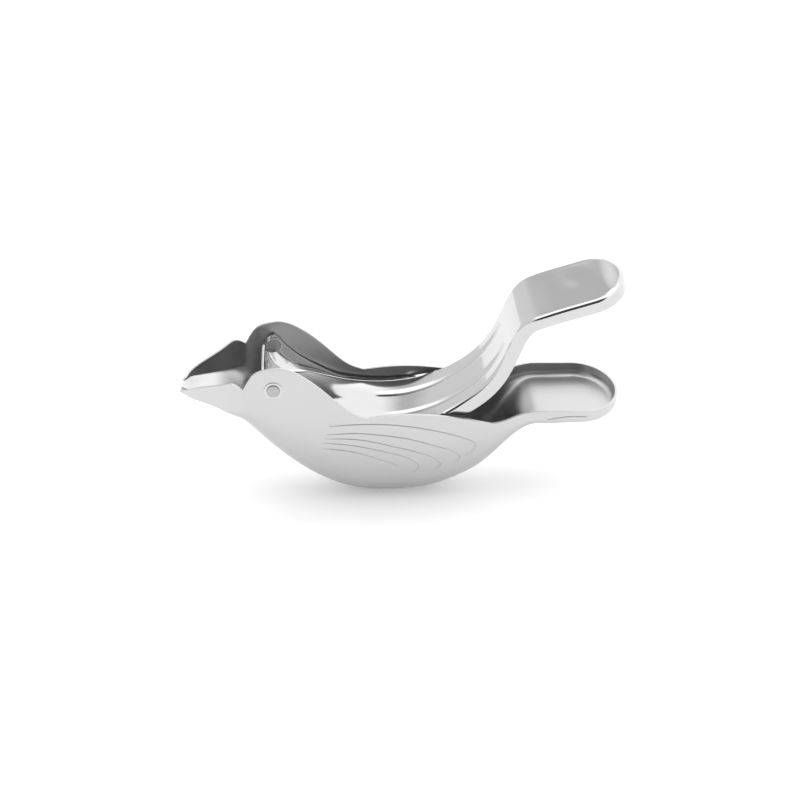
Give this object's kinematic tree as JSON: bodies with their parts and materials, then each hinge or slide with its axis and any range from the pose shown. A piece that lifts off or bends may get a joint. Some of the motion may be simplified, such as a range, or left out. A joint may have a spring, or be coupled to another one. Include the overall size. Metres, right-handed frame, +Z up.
{
  "type": "citrus wedge squeezer",
  "caption": "Bird-shaped citrus wedge squeezer: a deep pressed-steel bowl with a beak spout and tail handle, and a press lever riveted at the eyes.",
  "frame": {"origin": "on the small flat under the belly that the bird rests on, in its plane of symmetry", "axes": "+X from beak to tail, +Y across the bird, +Z up"},
  "size_m": [0.1467, 0.0326, 0.0808],
  "materials": {
    "satin_steel": "fine satin outside, polished inside",
    "polished_steel": "polished, with a fine satin turned-down rim",
    "rivet_steel": "satin"
  },
  "bodies": {
    "shell": {"bird_shell": "satin_steel", "eye_rivet_near": "rivet_steel", "eye_rivet_far": "rivet_steel"},
    "lever": {"press_lever": "polished_steel"}
  },
  "joints": [
    {"name": "lever_hinge", "type": "hinge", "parent": "shell", "child": "lever", "pos_m": [-0.0418, 0, 0.0484], "axis": [0, -1, 0], "range_deg": [-10, 80]}
  ]
}
